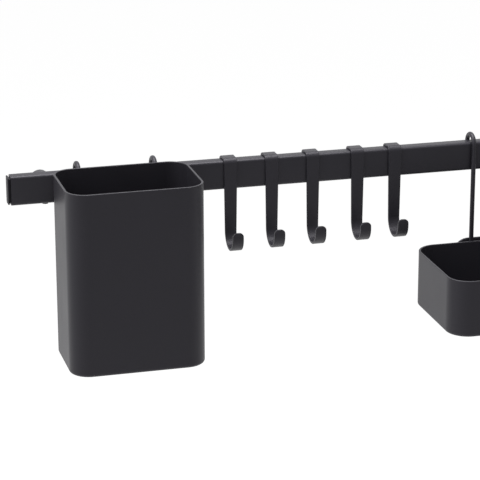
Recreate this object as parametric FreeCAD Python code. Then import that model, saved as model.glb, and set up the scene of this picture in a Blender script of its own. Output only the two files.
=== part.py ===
import FreeCAD, Part
import math
import os

from FreeCAD import Placement, Rotation, Vector

# Kitchen utensil rail with sliding strap hooks, a tall container and a low tray.
# Millimetres. +X runs along the rail, +Y into the wall, +Z up.
# The origin lies on the wall, midway between the wall posts and level with the rail's centre line.

# Rail: rectangular steel tube with rounded edges
rail_length = 600.0
rail_height = 25.0
rail_depth = 12.0
rail_wall = 1.5
rail_edge_radius = 2.5
rail_inner_radius = 1.0
rail_wall_gap = 19.0

# Wall posts: turned bars that stand off the rail, with a spigot in its back wall
post_inset = 29.0
post_diameter = 17.0
spigot_diameter = 13.0
spigot_clearance = 0.1
spigot_tip_gap = 1.5
wall_screw_hole = 4.5
wall_screw_head = 8.8
wall_screw_head_depth = 5.0

# Set screws: headless, up through the rail's bottom wall against the spigots
set_screw_diameter = 5.0
set_screw_clearance = 0.05
set_screw_proud = 1.3
set_screw_seat_gap = 0.05
hex_key = 2.5
hex_key_depth = 2.5

# End caps: flange, shadow step and hollow plug
cap_flange = 1.2
cap_flange_inset = 0.8
cap_step = 1.3
cap_step_inset = 2.0
cap_plug_length = 11.0
cap_plug_wall = 1.2
cap_plug_clearance = 0.15

# Where the hung pieces are along the rail, from its middle, as shares of its length
container_share = -0.3518
hook_shares = (-0.1893, -0.1288, -0.0682, -0.0016, 0.0545)
tray_share = 0.2497

# Strap hooks: bent from flat strip, narrower towards the tip
hook_thickness = 2.0
hook_clearance = 0.3
hook_top_width = 11.6
hook_foot_width = 9.8
hook_tip_width = 9.2
hook_drop = 77.0
hook_mouth_radius = 11.6
hook_tip_rise = 18.6
hook_back_leg = 17.0
hook_tip_corner_radius = 3.4

# Wire hooks: round rod bent over the rail
wire_diameter = 4.0
wire_clearance = 0.3
wire_back_leg = 20.0
wire_bend_steps = 8

# Tall container: drawn sheet steel
container_width = 114.0
container_depth = 80.0
container_height = 155.0
container_corner_radius = 17.0
container_wall = 1.8
container_floor = 1.8
container_bottom_radius = 2.6
container_rim_level = 17.5
container_weld_leg = 50.0
container_wire_spacing = 65.0

# Tray: low and wide, hung under the rail
tray_width = 200.0
tray_depth = 104.0
tray_height = 49.5
tray_corner_radius = 19.0
tray_wall = 1.8
tray_floor = 1.8
tray_bottom_radius = 2.6
tray_rim_level = -76.0
tray_weld_leg = 26.0
tray_wire_spacing = 90.0

# Plate behind the tray's wires
plate_thickness = 2.0
plate_height = 34.0
plate_overhang = 14.0
plate_rise = 1.6
plate_corner_radius = 14.0

# Places worked out from the sizes above
rail_back = -rail_wall_gap
rail_front = rail_back - rail_depth
rail_middle = rail_back - rail_depth / 2
rail_half_height = rail_height / 2
post_station = rail_length / 2 - post_inset
container_station = container_share * rail_length
hook_stations = [share * rail_length for share in hook_shares]
tray_station = tray_share * rail_length
spigot_length = rail_depth - rail_wall - spigot_tip_gap
wire_radius = wire_diameter / 2
wire_front = rail_front - wire_clearance - wire_radius
wire_bend_level = rail_half_height - rail_edge_radius
vessel_back = wire_front - wire_radius
plate_front = wire_front + wire_radius

# Turns that lay an outline drawn in X and Y square to the rail or flat against the wall
ACROSS_RAIL = Rotation(Vector(1, 1, 1), 120)
ON_WALL = Rotation(Vector(1, 0, 0), 90)

# How far a cutting tool reaches past the face it cuts, and how close two levels are the same
OVERCUT = 1.0
NEAR = 1e-4

# Steps in which the bottom edge of a vessel is rounded
BOTTOM_STEPS = 2


def rounded_rectangle(width, height, radius):
    """Closed wire in the XY plane, centred on the origin."""
    half_w = width / 2
    half_h = height / 2
    flat_w = half_w - radius
    flat_h = half_h - radius
    bulge = radius * math.sqrt(0.5)
    edges = []
    for turn in range(4):
        across, up = (half_w, flat_h) if turn % 2 == 0 else (half_h, flat_w)
        flat = (flat_w, flat_h) if turn % 2 == 0 else (flat_h, flat_w)
        spin = Rotation(Vector(0, 0, 1), 90 * turn)
        low = Vector(across, -up, 0)
        high = Vector(across, up, 0)
        middle = Vector(flat[0] + bulge, flat[1] + bulge, 0)
        corner_end = Vector(flat[0], flat[1] + radius, 0)
        edges.append(Part.LineSegment(spin.multVec(low), spin.multVec(high)).toShape())
        arc = Part.Arc(spin.multVec(high), spin.multVec(middle), spin.multVec(corner_end))
        edges.append(arc.toShape())
    return Part.Wire(edges)


def bar_along_rail(depth, height, radius, start, length):
    """Rounded bar of the rail's section, from x = start, on the rail's centre line."""
    face = Part.Face(rounded_rectangle(depth, height, radius))
    bar = face.extrude(Vector(0, 0, length))
    bar.Placement = Placement(Vector(start, rail_middle, 0), ACROSS_RAIL)
    return bar


def rod_from_wall(diameter, x, y_start, y_end):
    """Cylinder square to the wall between two depths, at the rail's level."""
    return Part.makeCylinder(diameter / 2, abs(y_end - y_start), Vector(x, y_start, 0),
                             Vector(0, y_end - y_start, 0))


def edges_at_level(shape, level):
    """Edges that lie wholly at one height."""
    def flat(edge):
        box = edge.BoundBox
        return abs(box.ZMin - level) < NEAR and abs(box.ZMax - level) < NEAR
    return [edge for edge in shape.Edges if flat(edge)]


def make_rail():
    outer = bar_along_rail(rail_depth, rail_height, rail_edge_radius, -rail_length / 2, rail_length)
    inner = bar_along_rail(rail_depth - 2 * rail_wall, rail_height - 2 * rail_wall, rail_inner_radius,
                           -rail_length / 2 - OVERCUT, rail_length + 2 * OVERCUT)
    rail = outer.cut(inner)
    for x in (-post_station, post_station):
        back_hole = rod_from_wall(spigot_diameter + 2 * spigot_clearance, x,
                                  rail_back + OVERCUT, rail_back - rail_wall - OVERCUT)
        screw_hole = Part.makeCylinder(set_screw_diameter / 2 + set_screw_clearance,
                                       rail_wall + 2 * OVERCUT,
                                       Vector(x, rail_middle, -rail_half_height - OVERCUT))
        rail = rail.cut(back_hole).cut(screw_hole)
    return rail


def make_wall_post(x):
    body = rod_from_wall(post_diameter, x, 0, rail_back)
    spigot = rod_from_wall(spigot_diameter, x, rail_back, rail_back - spigot_length)
    tip = rail_back - spigot_length
    screw_hole = rod_from_wall(wall_screw_hole, x, OVERCUT, tip - OVERCUT)
    head_hole = rod_from_wall(wall_screw_head, x, tip + wall_screw_head_depth, tip - OVERCUT)
    return body.fuse(spigot).cut(screw_hole).cut(head_hole).removeSplitter()


def make_set_screw(x):
    bottom = -rail_half_height - set_screw_proud
    top = -spigot_diameter / 2 - set_screw_seat_gap
    screw = Part.makeCylinder(set_screw_diameter / 2, top - bottom, Vector(x, rail_middle, bottom))
    across_corners = hex_key / math.cos(math.pi / 6)
    corners = []
    for corner in range(7):
        angle = math.radians(60 * corner)
        corners.append(Vector(x + across_corners / 2 * math.cos(angle),
                              rail_middle + across_corners / 2 * math.sin(angle), bottom - OVERCUT))
    socket = Part.Face(Part.makePolygon(corners)).extrude(Vector(0, 0, hex_key_depth + OVERCUT))
    return screw.cut(socket)


def make_end_cap(side):
    """Cap for the rail's end at x = side * rail_length / 2: hollow plug, shadow step and flange."""
    plug_depth = rail_depth - 2 * rail_wall - 2 * cap_plug_clearance
    plug_height = rail_height - 2 * rail_wall - 2 * cap_plug_clearance
    end = rail_length / 2
    corner = Vector(end - cap_plug_length, rail_middle - plug_depth / 2, -plug_height / 2)
    plug = Part.makeBox(cap_plug_length, plug_depth, plug_height, corner)
    plug = plug.makeChamfer(rail_inner_radius, [edge for edge in plug.Edges if edge.BoundBox.XLength > NEAR])
    hollow = Part.makeBox(cap_plug_length, plug_depth - 2 * cap_plug_wall, plug_height - 2 * cap_plug_wall,
                          corner + Vector(-OVERCUT, cap_plug_wall, cap_plug_wall))
    step = bar_along_rail(rail_depth - 2 * cap_step_inset, rail_height - 2 * cap_step_inset,
                          rail_inner_radius, end, cap_step)
    flange = bar_along_rail(rail_depth - 2 * cap_flange_inset, rail_height - 2 * cap_flange_inset,
                            rail_edge_radius - cap_flange_inset, end + cap_step, cap_flange)
    cap = plug.cut(hollow).fuse([step, flange]).removeSplitter()
    if side < 0:
        cap = cap.rotated(Vector(0, rail_middle, 0), Vector(0, 0, 1), 180)
    return cap


def bent_strip(start, heading, moves, thickness):
    """Face in the YZ plane of a strip bent to a list of (length, 0) runs and (inside radius, degrees) bends."""
    point = Vector(0, start[0], start[1])
    heading = Vector(0, heading[0], heading[1])
    left_edges = []
    right_edges = []
    half = thickness / 2
    for size, degrees in moves:
        left = Rotation(Vector(1, 0, 0), 90).multVec(heading)
        if degrees == 0:
            end = point + heading * size
            left_edges.append(Part.LineSegment(point + left * half, end + left * half).toShape())
            right_edges.append(Part.LineSegment(point - left * half, end - left * half).toShape())
            point = end
            continue
        side = math.copysign(1, degrees)
        centre = point + left * (side * (size + half))
        for edges, offset in ((left_edges, left * half), (right_edges, left * -half)):
            spoke = point + offset - centre
            stops = [centre + Rotation(Vector(1, 0, 0), degrees * share).multVec(spoke)
                     for share in (0, 0.5, 1)]
            edges.append(Part.Arc(*stops).toShape())
        turn = Rotation(Vector(1, 0, 0), degrees)
        point = centre + turn.multVec(point - centre)
        heading = turn.multVec(heading)
    first = Part.LineSegment(right_edges[0].Vertexes[0].Point, left_edges[0].Vertexes[0].Point).toShape()
    last = Part.LineSegment(left_edges[-1].Vertexes[-1].Point, right_edges[-1].Vertexes[-1].Point).toShape()
    loop = Part.__sortEdges__([first] + left_edges + [last] + right_edges)
    return Part.Face(Part.Wire(loop))


def outline_prism(widths, y_start, y_end):
    """Upright prism, symmetric about x = 0, with its width given at rising levels."""
    right = [Vector(width / 2, y_start, level) for width, level in widths]
    left = [Vector(-width / 2, y_start, level) for width, level in reversed(widths)]
    face = Part.Face(Part.makePolygon(right + left + [right[0]]))
    return face.extrude(Vector(0, y_end - y_start, 0))


def make_strap_hook(x):
    bend = rail_edge_radius + hook_clearance
    inside_top = rail_half_height + hook_clearance
    top = inside_top + hook_thickness
    bottom = top - hook_drop
    mouth_level = bottom + hook_thickness + hook_mouth_radius
    tip_level = bottom + hook_tip_rise
    bend_level = inside_top - bend
    back = rail_back + hook_clearance + hook_thickness / 2
    moves = [
        (hook_back_leg, 0),
        (bend, 90),
        (rail_depth - 2 * rail_edge_radius, 0),
        (bend, 90),
        (bend_level - mouth_level, 0),
        (hook_mouth_radius, -180),
        (tip_level - mouth_level, 0),
    ]
    strip = bent_strip((back, bend_level - hook_back_leg), (0, 1), moves, hook_thickness)
    strip.translate(Vector(-hook_top_width / 2, 0, 0))
    strap = strip.extrude(Vector(hook_top_width, 0, 0))
    mouth_middle = rail_front - hook_clearance - hook_thickness - hook_mouth_radius
    foot_level = bottom + hook_thickness
    leg = outline_prism([(hook_foot_width, bottom - OVERCUT), (hook_foot_width, foot_level),
                         (hook_top_width, bend_level), (hook_top_width, top + OVERCUT)],
                        mouth_middle, 0)
    tip = outline_prism([(hook_foot_width, bottom - OVERCUT), (hook_foot_width, foot_level),
                         (hook_tip_width, tip_level + OVERCUT)],
                        mouth_middle, mouth_middle - hook_mouth_radius - hook_thickness - OVERCUT)
    strap = strap.common(leg.fuse(tip).removeSplitter()).removeSplitter()
    corners = [edge for edge in edges_at_level(strap, tip_level) if edge.BoundBox.XLength < NEAR]
    strap = strap.makeFillet(hook_tip_corner_radius, corners)
    strap.translate(Vector(x, 0, 0))
    return strap


def vessel_section(width, depth, radius, inset, level):
    """Rounded rectangle at one level of a vessel, drawn in from its full size."""
    section = rounded_rectangle(width - 2 * inset, depth - 2 * inset, radius - inset)
    section.translate(Vector(0, 0, level))
    return section


def make_vessel(station, rim_level, width, depth, height, radius, wall, floor, bottom_radius):
    """Open vessel with a rounded bottom edge, its back wall against the wire hooks."""
    rings = []
    for step in range(BOTTOM_STEPS + 1):
        angle = math.pi / 2 * step / BOTTOM_STEPS
        rings.append(vessel_section(width, depth, radius, bottom_radius * (1 - math.sin(angle)),
                                    bottom_radius * (1 - math.cos(angle))))
    rings.append(vessel_section(width, depth, radius, 0, height))
    outside = Part.makeLoft(rings, True, True)
    inside = Part.Face(vessel_section(width, depth, radius, wall, floor))
    vessel = outside.cut(inside.extrude(Vector(0, 0, height - floor + OVERCUT)))
    vessel.translate(Vector(station, vessel_back - depth / 2, rim_level - height))
    return vessel


def make_wire_hook(x, foot_level):
    """Rod bent over the rail, with its front leg down to foot_level."""
    ring = Part.Wire(Part.makeCircle(wire_radius, Vector(x, wire_front, wire_bend_level)))
    pivot = Vector(x, rail_middle, wire_bend_level)
    rings = [ring.translated(Vector(0, 0, foot_level - wire_bend_level))]
    for step in range(wire_bend_steps + 1):
        rings.append(ring.rotated(pivot, Vector(1, 0, 0), -180 * step / wire_bend_steps))
    rings.append(rings[-1].translated(Vector(0, 0, -wire_back_leg)))
    return Part.makeLoft(rings, True, True)


def make_back_plate():
    width = tray_wire_spacing + wire_diameter + 2 * plate_overhang
    face = Part.Face(rounded_rectangle(width, plate_height, plate_corner_radius))
    plate = face.extrude(Vector(0, 0, plate_thickness))
    middle = tray_rim_level + plate_rise - plate_height / 2
    plate.Placement = Placement(Vector(tray_station, plate_front + plate_thickness, middle), ON_WALL)
    return plate


def build():
    """All pieces by node name."""
    pieces = {"rail": make_rail()}
    for side, name in ((-1, "left"), (1, "right")):
        pieces["end_cap_" + name] = make_end_cap(side)
        pieces["wall_post_" + name] = make_wall_post(side * post_station)
        pieces["set_screw_" + name] = make_set_screw(side * post_station)
    for number, x in enumerate(hook_stations, 1):
        pieces["strap_hook_%d" % number] = make_strap_hook(x)

    pieces["utensil_container"] = make_vessel(
        container_station, container_rim_level, container_width, container_depth, container_height,
        container_corner_radius, container_wall, container_floor, container_bottom_radius)
    pieces["tray"] = make_vessel(
        tray_station, tray_rim_level, tray_width, tray_depth, tray_height,
        tray_corner_radius, tray_wall, tray_floor, tray_bottom_radius)
    pieces["tray_back_plate"] = make_back_plate()
    for side, name in ((-1, "left"), (1, "right")):
        pieces["container_wire_" + name] = make_wire_hook(
            container_station + side * container_wire_spacing / 2, container_rim_level - container_weld_leg)
        pieces["tray_wire_" + name] = make_wire_hook(
            tray_station + side * tray_wire_spacing / 2, tray_rim_level - tray_weld_leg)
    return pieces


os.makedirs("parts", exist_ok=True)
for node, shape in build().items():
    shape.exportStep("parts/%s.step" % node)
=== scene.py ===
import math

import bmesh
import bpy
from mathutils import Matrix, Vector


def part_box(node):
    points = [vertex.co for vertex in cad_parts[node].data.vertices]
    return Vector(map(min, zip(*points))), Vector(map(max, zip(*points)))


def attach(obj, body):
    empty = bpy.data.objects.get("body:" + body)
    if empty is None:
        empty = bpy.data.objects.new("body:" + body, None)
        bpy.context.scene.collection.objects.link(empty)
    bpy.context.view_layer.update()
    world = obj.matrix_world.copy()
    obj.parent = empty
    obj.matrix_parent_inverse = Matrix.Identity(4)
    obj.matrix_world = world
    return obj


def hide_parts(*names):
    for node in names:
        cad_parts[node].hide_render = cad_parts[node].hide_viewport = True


# Kitchen utensil rail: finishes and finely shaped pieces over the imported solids. Metres.
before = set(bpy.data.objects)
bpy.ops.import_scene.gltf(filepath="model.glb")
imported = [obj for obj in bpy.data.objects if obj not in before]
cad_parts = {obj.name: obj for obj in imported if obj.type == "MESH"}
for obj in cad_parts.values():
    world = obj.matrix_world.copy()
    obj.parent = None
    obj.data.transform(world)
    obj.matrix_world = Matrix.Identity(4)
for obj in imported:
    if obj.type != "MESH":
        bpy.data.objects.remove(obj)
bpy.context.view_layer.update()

MM = 0.001

# Rail section that the hung pieces reach round
RAIL_BACK = -19 * MM
RAIL_FRONT = -31 * MM
RAIL_TOP = 12.5 * MM
RAIL_EDGE = 2.5 * MM

# Strap hooks
HOOKS = 5
STRAP_THICK = 2.0 * MM
STRAP_PLAY = 0.3 * MM
STRAP_TOP_WIDTH = 11.6 * MM
STRAP_FOOT_WIDTH = 9.8 * MM
STRAP_TIP_WIDTH = 9.2 * MM
STRAP_DROP = 77.0 * MM
STRAP_MOUTH = 11.6 * MM
STRAP_TIP_RISE = 18.6 * MM
STRAP_BACK_LEG = 17.0 * MM
STRAP_TIP_ROUND = 3.4 * MM
STRAP_EDGE = 0.55 * MM

# Steps of a strap: along runs, in degrees on bends, as shares of its ends' rounding, and round its edges
STRAP_RUN_STEP = 0.4 * MM
STRAP_BEND_STEP = 6
STRAP_END_STEPS = (0.05, 0.2, 0.45, 0.75)
EDGE_STEPS = 5

# Wire hooks, with stations crowded towards their ends
WIRE_RADIUS = 2.0 * MM
WIRE_PLAY = 0.3 * MM
WIRE_BACK_LEG = 20.0 * MM
WIRE_END_ROUND = 0.9 * MM
WIRE_STATIONS = 220
WIRE_CROWDING = 0.93
WIRE_FACETS = 28

# Container and tray
CONTAINER_CORNER = 17.0 * MM
TRAY_CORNER = 19.0 * MM
WALL = 1.8 * MM
FLOOR = 1.8 * MM
LIP_ROUND = 0.4 * MM
BOTTOM_ROUND = 2.6 * MM
FLOOR_ROUND = 2.2 * MM
HOLD = 0.7 * MM
CORNER_STEPS = 20
ROUND_STEPS = 8

# Welds beside the wires
SEAM_LENGTH = 7.0 * MM
SEAM_INSET = 2.0 * MM
SEAM_SIDE = WIRE_RADIUS * 0.8
BEAD_RADIUS = 0.85 * MM
BEAD_STEP = 1.0 * MM
BEAD_SCALES = (0.85, 1.1)
BEAD_SEED = 4
BEAD_SEGMENTS = 12
BEAD_RINGS = 8

# Solids whose own shape is shown, with the width by which their sharp edges are eased
EASED_EDGES = {"rail": 0.3 * MM, "end_cap_left": 0.3 * MM, "end_cap_right": 0.3 * MM,
               "wall_post_left": 0.4 * MM, "wall_post_right": 0.4 * MM,
               "set_screw_left": 0.15 * MM, "set_screw_right": 0.15 * MM, "tray_back_plate": 0.5 * MM}
EASE_STEPS = 3
SHARP_ANGLE = math.radians(40)
FLAT_ANGLE = math.radians(0.5)
SAME_POINT = 0.002 * MM

# Dull finishes: fine grain, broad clouds in the tone, and a faint cool cast
GRAIN_DETAIL = 3.0
GRAIN_ROUGHNESS = 0.6
GRAIN_SHARE = 0.6
CLOUD_SCALE = 26.0
CLOUD_DETAIL = 2.0
CLOUD_SHARE = 0.4
TONE_LOW = 0.3
TONE_HIGH = 0.7
GLOSS_SPREAD = 0.04
BUMP_STRENGTH = 0.35
SPECULAR_TINT = (0.955, 0.93, 1.0, 1.0)

# Studio: the share of the white background that mirrors see at the front, and where it dims to that
DIM_FRONT = 0.28
FLOOR_DIM_FROM = -6.9
FLOOR_WHITE_FROM = -1.15
ROOM_DIM_FROM = -0.9
ROOM_WHITE_FROM = -0.2
ROOM_LIGHT = 0.33
FLOOR_LEVEL = -1.6
FLOOR_REACH = 30.0
FLOOR_COLOUR = 0.8
FLOOR_LIFT = 0.72
LAMP_TARGET = (0.0, -0.07, -0.05)

# Camera at the photograph's viewpoint, with its focal length in pixels of the frame
CAMERA_PLACE = (-0.5628, -1.7347, 0.51)
CAMERA_YAW = math.radians(15.04)
CAMERA_PITCH = math.radians(17.86)
CAMERA_ROLL = math.radians(-0.15)
CAMERA_FOCAL = 2169.9
CAMERA_REACH = (0.05, 90.0)
FRAME_PIXELS = 480.0
SENSOR_WIDTH = 36.0


class Bench:
    """A node tree with short calls that add a node and join its sockets."""

    def __init__(self, tree):
        self.tree = tree

    def add(self, kind, inputs=None, **settings):
        node = self.tree.nodes.new(kind)
        for key, value in settings.items():
            setattr(node, key, value)
        for key, value in (inputs or {}).items():
            if isinstance(value, bpy.types.NodeSocket):
                self.tree.links.new(value, node.inputs[key])
            else:
                node.inputs[key].default_value = value
        return node

    def calc(self, operation, *values):
        return self.add("ShaderNodeMath", dict(enumerate(values)), operation=operation).outputs[0]


def grained_finish(name, dark, light, roughness, grain, grain_depth, specular, metallic=0.0):
    """Dull finish with a fine grain in its colour, gloss and surface."""
    material = bpy.data.materials.new(name)
    material.use_nodes = True
    bench = Bench(material.node_tree)
    shader = material.node_tree.nodes["Principled BSDF"]
    place = bench.add("ShaderNodeTexCoord").outputs["Object"]
    fine = bench.add("ShaderNodeTexNoise", {"Vector": place, "Scale": grain, "Detail": GRAIN_DETAIL,
                                            "Roughness": GRAIN_ROUGHNESS}).outputs["Fac"]
    broad = bench.add("ShaderNodeTexNoise", {"Vector": place, "Scale": CLOUD_SCALE,
                                             "Detail": CLOUD_DETAIL}).outputs["Fac"]
    both = bench.calc("MULTIPLY_ADD", fine, GRAIN_SHARE, bench.calc("MULTIPLY", broad, CLOUD_SHARE))
    tone = bench.add("ShaderNodeMix", {"Factor": both}, data_type="RGBA")
    for socket, colour in ((tone.inputs[6], dark), (tone.inputs[7], light)):
        socket.default_value = (*colour, 1.0)
    gloss = bench.add("ShaderNodeMapRange", {"Value": both, "From Min": TONE_LOW, "From Max": TONE_HIGH,
                                             "To Min": roughness - GLOSS_SPREAD,
                                             "To Max": roughness + GLOSS_SPREAD})
    bump = bench.add("ShaderNodeBump", {"Height": fine, "Strength": BUMP_STRENGTH, "Distance": grain_depth})
    bench.tree.links.new(tone.outputs[2], shader.inputs["Base Color"])
    bench.tree.links.new(gloss.outputs["Result"], shader.inputs["Roughness"])
    bench.tree.links.new(bump.outputs["Normal"], shader.inputs["Normal"])
    shader.inputs["Specular IOR Level"].default_value = specular
    shader.inputs["Specular Tint"].default_value = SPECULAR_TINT
    shader.inputs["Metallic"].default_value = metallic
    return material


POWDER_COAT = grained_finish("black powder coat", (0.0155, 0.0147, 0.0186), (0.0245, 0.0232, 0.0294),
                             roughness=0.42, grain=1000.0, grain_depth=0.1 * MM, specular=0.34)
CAP_PLASTIC = grained_finish("black moulded plastic", (0.0105, 0.01, 0.012), (0.0165, 0.0158, 0.019),
                             roughness=0.56, grain=2600.0, grain_depth=0.04 * MM, specular=0.25)
SCREW_BLACK = grained_finish("blackened screw steel", (0.03, 0.03, 0.032), (0.05, 0.05, 0.052),
                             roughness=0.38, grain=3200.0, grain_depth=0.03 * MM, specular=0.5, metallic=0.6)


def finished(name, mesh, body, slot, *nodes):
    """A shown piece that moves with its body and stands for those solids."""
    piece = bpy.data.objects.new(name, mesh)
    bpy.context.scene.collection.objects.link(piece)
    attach(piece, body)
    if nodes:
        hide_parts(*nodes)


def start_tree(name, sizes):
    """Tree with a Geometry input, one number input for each size, and the finish."""
    tree = bpy.data.node_groups.new(name, "GeometryNodeTree")
    sockets = tree.interface
    sockets.new_socket("Geometry", in_out="INPUT", socket_type="NodeSocketGeometry")
    keys = {}
    for size in sizes:
        keys[size] = sockets.new_socket(size, in_out="INPUT", socket_type="NodeSocketFloat").identifier
    finish = sockets.new_socket("Finish", in_out="INPUT", socket_type="NodeSocketMaterial")
    keys["Finish"] = finish.identifier
    sockets.new_socket("Geometry", in_out="OUTPUT", socket_type="NodeSocketGeometry")
    bench = Bench(tree)
    return bench, bench.add("NodeGroupInput").outputs, keys


def close_tree(bench, given, geometry):
    """Realized, smooth and coated."""
    real = bench.add("GeometryNodeRealizeInstances", {"Geometry": geometry}).outputs[0]
    smooth = bench.add("GeometryNodeSetShadeSmooth", {"Geometry": real}).outputs[0]
    coated = bench.add("GeometryNodeSetMaterial", {"Geometry": smooth, "Material": given["Finish"]})
    bench.add("NodeGroupOutput", {0: coated.outputs[0]})


def baked(bench, keys, values, base):
    """Plain mesh that the tree makes from a base mesh, with its broad faces shaded flat."""
    carrier = bpy.data.objects.new("carrier", base)
    bpy.context.scene.collection.objects.link(carrier)
    modifier = carrier.modifiers.new("shape", "NODES")
    modifier.node_group = bench.tree
    for name, value in values.items():
        modifier[keys[name]] = value
    carrier.modifiers.new("flat faces", "WEIGHTED_NORMAL").mode = "FACE_AREA"
    shaped = carrier.evaluated_get(bpy.context.evaluated_depsgraph_get())
    mesh = bpy.data.meshes.new_from_object(shaped)
    carrier.modifiers.clear()
    bpy.data.objects.remove(carrier)
    return mesh


def wire_tree():
    """Round wire up the rail's front, over its top and down its back, with rounded ends."""
    sizes = ("Station", "Foot Level", "Front", "Bend Radius", "Bend Level", "Back Leg", "Wire Radius",
             "End Round")
    bench, given, keys = start_tree("wire over rail", sizes)
    calc = bench.calc
    line = bench.add("GeometryNodeCurvePrimitiveLine")
    points = bench.add("GeometryNodeResampleCurve", {"Curve": line.outputs[0], "Count": WIRE_STATIONS})
    share = calc("DIVIDE", bench.add("GeometryNodeInputIndex").outputs[0], WIRE_STATIONS - 1.0)
    crowd = calc("DIVIDE", calc("SINE", calc("MULTIPLY", share, math.tau)), math.tau)
    share = calc("SUBTRACT", share, calc("MULTIPLY", crowd, WIRE_CROWDING))
    leg = calc("SUBTRACT", given["Bend Level"], given["Foot Level"])
    turn = calc("MULTIPLY", given["Bend Radius"], math.pi)
    total = calc("ADD", calc("ADD", leg, turn), given["Back Leg"])
    run = calc("MULTIPLY", share, total)
    angle = calc("DIVIDE", calc("SUBTRACT", run, leg), given["Bend Radius"])
    angle = calc("MINIMUM", calc("MAXIMUM", angle, 0.0), math.pi)
    across = calc("MULTIPLY", given["Bend Radius"], calc("SUBTRACT", 1.0, calc("COSINE", angle)))
    rise = calc("MULTIPLY", given["Bend Radius"], calc("SINE", angle))
    below_front = calc("MAXIMUM", calc("SUBTRACT", leg, run), 0.0)
    below_back = calc("MAXIMUM", calc("SUBTRACT", run, calc("ADD", leg, turn)), 0.0)
    level = calc("SUBTRACT", calc("ADD", given["Bend Level"], rise), calc("ADD", below_front, below_back))
    depth = calc("ADD", given["Front"], across)
    spot = bench.add("ShaderNodeCombineXYZ", {0: given["Station"], 1: depth, 2: level})
    path = bench.add("GeometryNodeSetPosition", {"Geometry": points.outputs[0], "Position": spot.outputs[0]})
    to_end = calc("MINIMUM", run, calc("SUBTRACT", total, run))
    near_end = calc("MAXIMUM", calc("SUBTRACT", 1.0, calc("DIVIDE", to_end, given["End Round"])), 0.0)
    bulge = calc("SQRT", calc("MAXIMUM", calc("SUBTRACT", 1.0, calc("MULTIPLY", near_end, near_end)), 0.0))
    end_share = calc("DIVIDE", given["End Round"], given["Wire Radius"])
    fullness = calc("SUBTRACT", 1.0, calc("MULTIPLY", calc("SUBTRACT", 1.0, bulge), end_share))
    sized = bench.add("GeometryNodeSetCurveRadius", {"Curve": path.outputs[0], "Radius": fullness})
    ring = bench.add("GeometryNodeCurvePrimitiveCircle",
                     {"Resolution": WIRE_FACETS, "Radius": given["Wire Radius"]})
    tube = bench.add("GeometryNodeCurveToMesh",
                     {"Curve": sized.outputs[0], "Profile Curve": ring.outputs[0], "Fill Caps": True})
    close_tree(bench, given, tube.outputs[0])
    return bench, keys


def strap_tree():
    """Flat strap along the path in its base mesh, as wide and as thick as the path's own numbers say."""
    bench, given, keys = start_tree("strap along path", ("Station", "Thickness", "Edge Round"))

    def path_number(name):
        return bench.add("GeometryNodeInputNamedAttribute", {"Name": name}, data_type="FLOAT").outputs[0]

    curve = bench.add("GeometryNodeMeshToCurve", {"Mesh": given["Geometry"]})
    thinning = path_number("thinning")
    sized = bench.add("GeometryNodeSetCurveRadius", {"Curve": curve.outputs[0], "Radius": thinning})
    section = bench.add("GeometryNodeCurvePrimitiveQuadrilateral",
                        {"Width": STRAP_TOP_WIDTH, "Height": given["Thickness"]})
    rounded = bench.add("GeometryNodeFilletCurve",
                        {"Curve": section.outputs[0], "Radius": given["Edge Round"], "Count": EDGE_STEPS},
                        mode="POLY")
    parts = bench.add("ShaderNodeSeparateXYZ", {0: bench.add("GeometryNodeInputPosition").outputs[0]})
    share = bench.calc("DIVIDE", parts.outputs[0], STRAP_TOP_WIDTH / 2)
    marked = bench.add("GeometryNodeStoreNamedAttribute",
                       {"Geometry": rounded.outputs[0], "Name": "across", "Value": share},
                       data_type="FLOAT", domain="POINT")
    strap = bench.add("GeometryNodeCurveToMesh",
                      {"Curve": sized.outputs[0], "Profile Curve": marked.outputs[0], "Fill Caps": True})
    reach = bench.calc("MULTIPLY_ADD", path_number("across"), path_number("half_width"), given["Station"])
    placed = bench.add("ShaderNodeCombineXYZ", {0: reach, 1: parts.outputs[1], 2: parts.outputs[2]})
    shaped = bench.add("GeometryNodeSetPosition",
                       {"Geometry": strap.outputs[0], "Position": placed.outputs[0]})
    close_tree(bench, given, shaped.outputs[0])
    return bench, keys


def eased(distance, radius):
    """How far a rounded end draws in at this distance from it."""
    if distance >= radius:
        return 0.0
    return radius - math.sqrt(max(radius ** 2 - (radius - distance) ** 2, 0.0))


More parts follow.
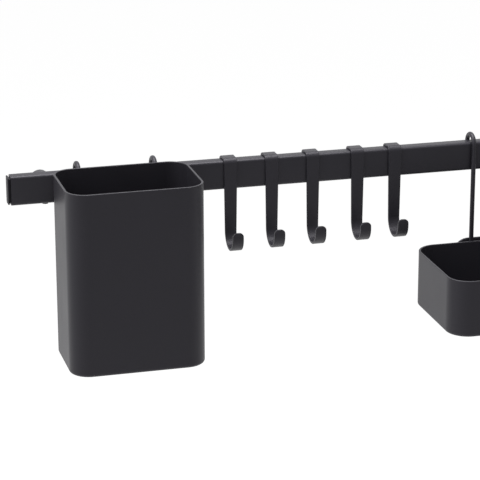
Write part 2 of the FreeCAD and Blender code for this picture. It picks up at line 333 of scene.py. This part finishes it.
def strap_path():
    """Middle line of a strap hook as points in depth and height, from its back end to its tip."""
    inside_top = RAIL_TOP + STRAP_PLAY
    bend = RAIL_EDGE + STRAP_PLAY
    bend_level = inside_top - bend
    bottom = inside_top + STRAP_THICK - STRAP_DROP
    mouth_level = bottom + STRAP_THICK + STRAP_MOUTH
    half = STRAP_THICK / 2
    moves = [(STRAP_BACK_LEG, 0), (bend + half, 90), (RAIL_BACK - RAIL_FRONT - 2 * RAIL_EDGE, 0),
             (bend + half, 90), (bend_level - mouth_level, 0), (STRAP_MOUTH + half, -180),
             (bottom + STRAP_TIP_RISE - mouth_level, 0)]
    point = Vector((RAIL_BACK + STRAP_PLAY + half, bend_level - STRAP_BACK_LEG))
    heading = Vector((0.0, 1.0))
    points = [point.copy()]
    for size, degrees in moves:
        if degrees == 0:
            steps = max(int(size / STRAP_RUN_STEP), 2)
            points += [point + heading * size * (i + 1) / steps for i in range(steps)]
            point = points[-1].copy()
            continue
        steps = abs(degrees) // STRAP_BEND_STEP
        side = math.copysign(1, degrees)
        pivot = point + Vector((-heading.y, heading.x)) * size * side
        spoke = point - pivot
        for i in range(steps):
            points.append(pivot + Matrix.Rotation(math.radians(degrees * (i + 1) / steps), 2) @ spoke)
        point = points[-1].copy()
        heading = Matrix.Rotation(math.radians(degrees), 2) @ heading
    first = [points[0] + Vector((0.0, STRAP_EDGE * share)) for share in STRAP_END_STEPS]
    last = [points[-1] - Vector((0.0, STRAP_EDGE * share)) for share in reversed(STRAP_END_STEPS)]
    return [points[0]] + first + points[2:-2] + last + [points[-1]], bottom, bend_level


def strap_base():
    """Path mesh of a strap hook with the numbers that the strap follows."""
    points, bottom, bend_level = strap_path()
    mesh = bpy.data.meshes.new("strap path")
    mesh.from_pydata([(0.0, p.x, p.y) for p in points], [(i, i + 1) for i in range(len(points) - 1)], [])
    runs = [0.0]
    for here, there in zip(points, points[1:]):
        runs.append(runs[-1] + (there - here).length)
    foot_level = bottom + STRAP_THICK
    mouth_middle = RAIL_FRONT - STRAP_PLAY - STRAP_THICK - STRAP_MOUTH
    widths = []
    thins = []
    for point, run in zip(points, runs):
        if point.x > mouth_middle:
            share = (point.y - foot_level) / (bend_level - foot_level)
            far_width = STRAP_TOP_WIDTH
        else:
            share = (point.y - foot_level) / (STRAP_TIP_RISE - STRAP_THICK)
            far_width = STRAP_TIP_WIDTH
        share = min(max(share, 0.0), 1.0)
        width = STRAP_FOOT_WIDTH + (far_width - STRAP_FOOT_WIDTH) * share
        to_tip = runs[-1] - run
        widths.append(width / 2 - eased(to_tip, STRAP_TIP_ROUND) - eased(run, STRAP_EDGE))
        thins.append(1.0 - eased(min(run, to_tip), STRAP_EDGE) / (STRAP_THICK / 2))
    for name, values in (("half_width", widths), ("thinning", thins)):
        mesh.attributes.new(name, "FLOAT", "POINT").data.foreach_set("value", values)
    return mesh


def rounded_ring(width, depth, radius):
    """Points round a rectangle with rounded corners, with an extra point near each end of each corner."""
    ring = []
    for turn in range(4):
        across = (width, depth) if turn % 2 == 0 else (depth, width)
        centre = Vector((across[0] / 2 - radius, across[1] / 2 - radius))
        corner = [centre + Vector((radius, -HOLD))]
        for step in range(CORNER_STEPS + 1):
            angle = math.pi / 2 * step / CORNER_STEPS
            corner.append(centre + Vector((math.cos(angle), math.sin(angle))) * radius)
        corner.append(centre + Vector((-HOLD, radius)))
        spin = Matrix.Rotation(math.pi / 2 * turn, 2)
        ring += [spin @ point for point in corner]
    return ring


def vessel_section(height):
    """Wall section as (inset, level), from the underside's edge over the rim to the floor's edge."""
    quarter = [math.pi / 2 * i / ROUND_STEPS for i in range(ROUND_STEPS + 1)]
    section = [(BOTTOM_ROUND + HOLD, 0.0)]
    section += [(BOTTOM_ROUND * (1 - math.sin(a)), BOTTOM_ROUND * (1 - math.cos(a))) for a in quarter]
    lip = height - LIP_ROUND
    section += [(0.0, BOTTOM_ROUND + HOLD), (0.0, lip - HOLD)]
    section += [(LIP_ROUND * (1 - math.cos(a)), lip + LIP_ROUND * math.sin(a)) for a in quarter]
    section += [(WALL - LIP_ROUND * (1 - math.sin(a)), lip + LIP_ROUND * math.cos(a)) for a in quarter]
    section += [(WALL, lip - HOLD), (WALL, FLOOR + FLOOR_ROUND + HOLD)]
    section += [(WALL + FLOOR_ROUND * (1 - math.cos(a)), FLOOR + FLOOR_ROUND * (1 - math.sin(a)))
                for a in quarter]
    section.append((WALL + FLOOR_ROUND + HOLD, FLOOR))
    return section


def vessel_mesh(node, radius):
    """Open vessel with a rounded rim, bottom edge and floor edge, in its solid's box."""
    low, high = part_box(node)
    size = high - low
    middle = (low + high) / 2
    mesh = bmesh.new()
    rings = []
    for inset, level in vessel_section(size.z):
        ring = rounded_ring(size.x - 2 * inset, size.y - 2 * inset, radius - inset)
        rings.append([mesh.verts.new((middle.x + p.x, middle.y + p.y, low.z + level)) for p in ring])
    count = len(rings[0])
    for lower, upper in zip(rings, rings[1:]):
        for i in range(count):
            j = (i + 1) % count
            mesh.faces.new((lower[i], lower[j], upper[j], upper[i]))
    mesh.faces.new(list(reversed(rings[0])))
    mesh.faces.new(rings[-1])
    for face in mesh.faces:
        face.smooth = True
    done = bpy.data.meshes.new(node + " shape")
    mesh.to_mesh(done)
    mesh.free()
    done.materials.append(POWDER_COAT)
    return done


def weld_tree():
    """Overlapping beads along the edges of its base mesh, each a little different."""
    bench, given, keys = start_tree("weld beads along seams", ("Bead Radius", "Bead Step"))
    seams = bench.add("GeometryNodeMeshToCurve", {"Mesh": given["Geometry"]})
    spots = bench.add("GeometryNodeCurveToPoints", {"Curve": seams.outputs[0], "Length": given["Bead Step"]},
                      mode="LENGTH")
    bead = bench.add("GeometryNodeMeshUVSphere",
                     {"Segments": BEAD_SEGMENTS, "Rings": BEAD_RINGS, "Radius": given["Bead Radius"]})
    size = bench.add("FunctionNodeRandomValue", {2: BEAD_SCALES[0], 3: BEAD_SCALES[1], "Seed": BEAD_SEED},
                     data_type="FLOAT")
    beads = bench.add("GeometryNodeInstanceOnPoints",
                      {"Points": spots.outputs[0], "Instance": bead.outputs[0], "Scale": size.outputs[1]})
    close_tree(bench, given, beads.outputs[0])
    return bench, keys


def middle_of(node):
    """Place of a solid's middle along the rail."""
    low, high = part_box(node)
    return (low.x + high.x) / 2


def seam_base(wires, depths, levels):
    """One upright edge on each side of each wire at each depth and level."""
    corners = []
    for wire in wires:
        for side in (-1, 1):
            x = middle_of(wire) + side * SEAM_SIDE
            for depth in depths:
                for level in levels:
                    corners += [(x, depth, level), (x, depth, level + SEAM_LENGTH)]
    mesh = bpy.data.meshes.new("weld seams")
    mesh.from_pydata(corners, [(i, i + 1) for i in range(0, len(corners), 2)], [])
    return mesh


def eased_mesh(node, coat, width):
    """The solid's own shape, with its facets merged and its sharp edges eased."""
    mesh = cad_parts[node].data.copy()
    shape = bmesh.new()
    shape.from_mesh(mesh)
    bmesh.ops.remove_doubles(shape, verts=shape.verts, dist=SAME_POINT)
    bmesh.ops.dissolve_limit(shape, angle_limit=FLAT_ANGLE, verts=shape.verts, edges=shape.edges)
    for face in shape.faces:
        face.smooth = True
    shape.to_mesh(mesh)
    shape.free()
    carrier = bpy.data.objects.new("carrier", mesh)
    bpy.context.scene.collection.objects.link(carrier)
    bevel = carrier.modifiers.new("eased edges", "BEVEL")
    bevel.width = width
    bevel.segments = EASE_STEPS
    bevel.limit_method = "ANGLE"
    bevel.angle_limit = SHARP_ANGLE
    bevel.harden_normals = True
    done = bpy.data.meshes.new_from_object(carrier.evaluated_get(bpy.context.evaluated_depsgraph_get()))
    bpy.data.objects.remove(carrier)
    done.materials.clear()
    done.materials.append(coat)
    return done


def coat_of(node):
    """Slot and finish of a solid."""
    if node.startswith("end_cap"):
        return "cap_plastic", CAP_PLASTIC
    if node.startswith("set_screw"):
        return "screw_black", SCREW_BLACK
    return "powder_coat", POWDER_COAT


# Finishes of the solids
for node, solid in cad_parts.items():
    solid.data.materials.clear()
    solid.data.materials.append(coat_of(node)[1])

# Rail, end caps, wall posts, set screws and back plate
for node, width in EASED_EDGES.items():
    slot, coat = coat_of(node)
    body = "tray" if node.startswith("tray") else "rail"
    finished(node + "_eased", eased_mesh(node, coat, width), body, slot, node)

# Strap hooks
straps, strap_keys = strap_tree()
for number in range(1, HOOKS + 1):
    node = "strap_hook_%d" % number
    values = {"Station": middle_of(node), "Thickness": STRAP_THICK, "Edge Round": STRAP_EDGE,
              "Finish": POWDER_COAT}
    strap = baked(straps, strap_keys, values, strap_base())
    finished(node + "_strap", strap, "hook_%d" % number, "powder_coat", node)

# Wire hooks
wires, wire_keys = wire_tree()
wire_front = RAIL_FRONT - WIRE_PLAY - WIRE_RADIUS
for body in ("container", "tray"):
    for side in ("left", "right"):
        node = "%s_wire_%s" % (body, side)
        values = {"Station": middle_of(node), "Foot Level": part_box(node)[0].z, "Front": wire_front,
                  "Bend Radius": (RAIL_BACK + RAIL_FRONT) / 2 - wire_front,
                  "Bend Level": RAIL_TOP - RAIL_EDGE, "Back Leg": WIRE_BACK_LEG, "Wire Radius": WIRE_RADIUS,
                  "End Round": WIRE_END_ROUND, "Finish": POWDER_COAT}
        blank = bpy.data.meshes.new("wire blank")
        finished(node + "_rod", baked(wires, wire_keys, values, blank), body, "powder_coat", node)

# Container and tray
finished("container_shell", vessel_mesh("utensil_container", CONTAINER_CORNER), "container", "powder_coat",
         "utensil_container")
finished("tray_shell", vessel_mesh("tray", TRAY_CORNER), "tray", "powder_coat", "tray")

# Welds of the wires to the back walls, and of the tray's wires to the plate behind them
welds, weld_keys = weld_tree()
for body, shell in (("container", "utensil_container"), ("tray", "tray")):
    rods = [body + "_wire_left", body + "_wire_right"]
    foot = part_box(rods[0])[0].z + SEAM_INSET
    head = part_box(shell)[1].z - SEAM_INSET - 2 * SEAM_LENGTH
    depths = [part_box(shell)[1].y + BEAD_RADIUS]
    if body == "tray":
        depths.append(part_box("tray_back_plate")[0].y - BEAD_RADIUS)
    values = {"Bead Radius": BEAD_RADIUS, "Bead Step": BEAD_STEP, "Finish": POWDER_COAT}
    seams = seam_base(rods, depths, (foot, head))
    finished(body + "_weld_beads", baked(welds, weld_keys, values, seams), body, "powder_coat")


def background_share(bench, place, dim_from, white_from):
    """How fully a ray sees the white background: the camera always, mirrors less towards the dim front."""
    seen = bench.add("ShaderNodeLightPath").outputs
    spot = bench.add("ShaderNodeTexCoord").outputs[place]
    depth = bench.add("ShaderNodeSeparateXYZ", {0: spot}).outputs[1]
    front = bench.add("ShaderNodeMapRange", {"Value": depth, "From Min": dim_from, "From Max": white_from,
                                             "To Min": DIM_FRONT, "To Max": 1.0}).outputs[0]
    mirror = bench.calc("MAXIMUM", seen["Is Glossy Ray"], seen["Is Transmission Ray"])
    return bench.calc("MAXIMUM", seen["Is Camera Ray"], bench.calc("MULTIPLY", mirror, front))


def studio_white(name):
    """Pale surface that the camera and mirrors see a little lifted, and that still takes shadows."""
    material = bpy.data.materials.new(name)
    material.use_nodes = True
    bench = Bench(material.node_tree)
    material.node_tree.nodes.clear()
    direct = background_share(bench, "Object", FLOOR_DIM_FROM, FLOOR_WHITE_FROM)
    paint = bench.add("ShaderNodeBsdfDiffuse", {"Color": (FLOOR_COLOUR, FLOOR_COLOUR, FLOOR_COLOUR, 1.0)})
    glow = bench.add("ShaderNodeEmission", {"Strength": bench.calc("MULTIPLY", direct, FLOOR_LIFT)})
    both = bench.add("ShaderNodeAddShader", {0: paint.outputs[0], 1: glow.outputs[0]})
    bench.add("ShaderNodeOutputMaterial", {"Surface": both.outputs[0]})
    return material


def studio_floor(level, reach):
    """Wide pale floor well below the object."""
    corners = [(x * reach, y * reach, level) for x, y in ((-1, -1), (1, -1), (1, 1), (-1, 1))]
    mesh = bpy.data.meshes.new("studio floor")
    mesh.from_pydata(corners, [], [(0, 1, 2, 3)])
    mesh.materials.append(studio_white("pale studio floor"))
    floor = bpy.data.objects.new("studio_floor", mesh)
    bpy.context.scene.collection.objects.link(floor)


def studio_world(level):
    """Even room light, seen as white by the camera and by mirrors."""
    world = bpy.data.worlds.new("studio room")
    world.use_nodes = True
    bpy.context.scene.world = world
    bench = Bench(world.node_tree)
    direct = background_share(bench, "Generated", ROOM_DIM_FROM, ROOM_WHITE_FROM)
    strength = bench.add("ShaderNodeMapRange", {"Value": direct, "To Min": level, "To Max": 1.0}).outputs[0]
    sky = world.node_tree.nodes["Background"]
    sky.inputs["Color"].default_value = (1.0, 1.0, 1.0, 1.0)
    bench.tree.links.new(strength, sky.inputs["Strength"])


def soft_lamp(name, place, width, power):
    """Square lamp that faces the object."""
    lamp = bpy.data.lights.new(name, "AREA")
    lamp.size = width
    lamp.energy = power
    holder = bpy.data.objects.new(name, lamp)
    bpy.context.scene.collection.objects.link(holder)
    holder.location = place
    holder.rotation_mode = "QUATERNION"
    holder.rotation_quaternion = (Vector(LAMP_TARGET) - Vector(place)).to_track_quat("-Z", "Y")


def photo_camera():
    """Camera at the photograph's viewpoint."""
    camera = bpy.data.cameras.new("photo camera")
    camera.sensor_width = SENSOR_WIDTH
    camera.lens = CAMERA_FOCAL * SENSOR_WIDTH / FRAME_PIXELS
    camera.clip_start, camera.clip_end = CAMERA_REACH
    holder = bpy.data.objects.new("photo_camera", camera)
    bpy.context.scene.collection.objects.link(holder)
    turn = (Matrix.Rotation(-CAMERA_YAW, 4, "Z") @ Matrix.Rotation(math.pi / 2 - CAMERA_PITCH, 4, "X")
            @ Matrix.Rotation(CAMERA_ROLL, 4, "Z"))
    holder.matrix_world = Matrix.Translation(CAMERA_PLACE) @ turn
    bpy.context.scene.camera = holder


studio_floor(FLOOR_LEVEL, FLOOR_REACH)
studio_world(ROOM_LIGHT)
soft_lamp("key lamp", place=(-1.35, -0.2, 1.2), width=1.1, power=13.5)
soft_lamp("top lamp", place=(-0.2, 0.0, 1.6), width=1.3, power=44.0)
photo_camera()

bpy.context.scene.view_settings.view_transform = "Standard"
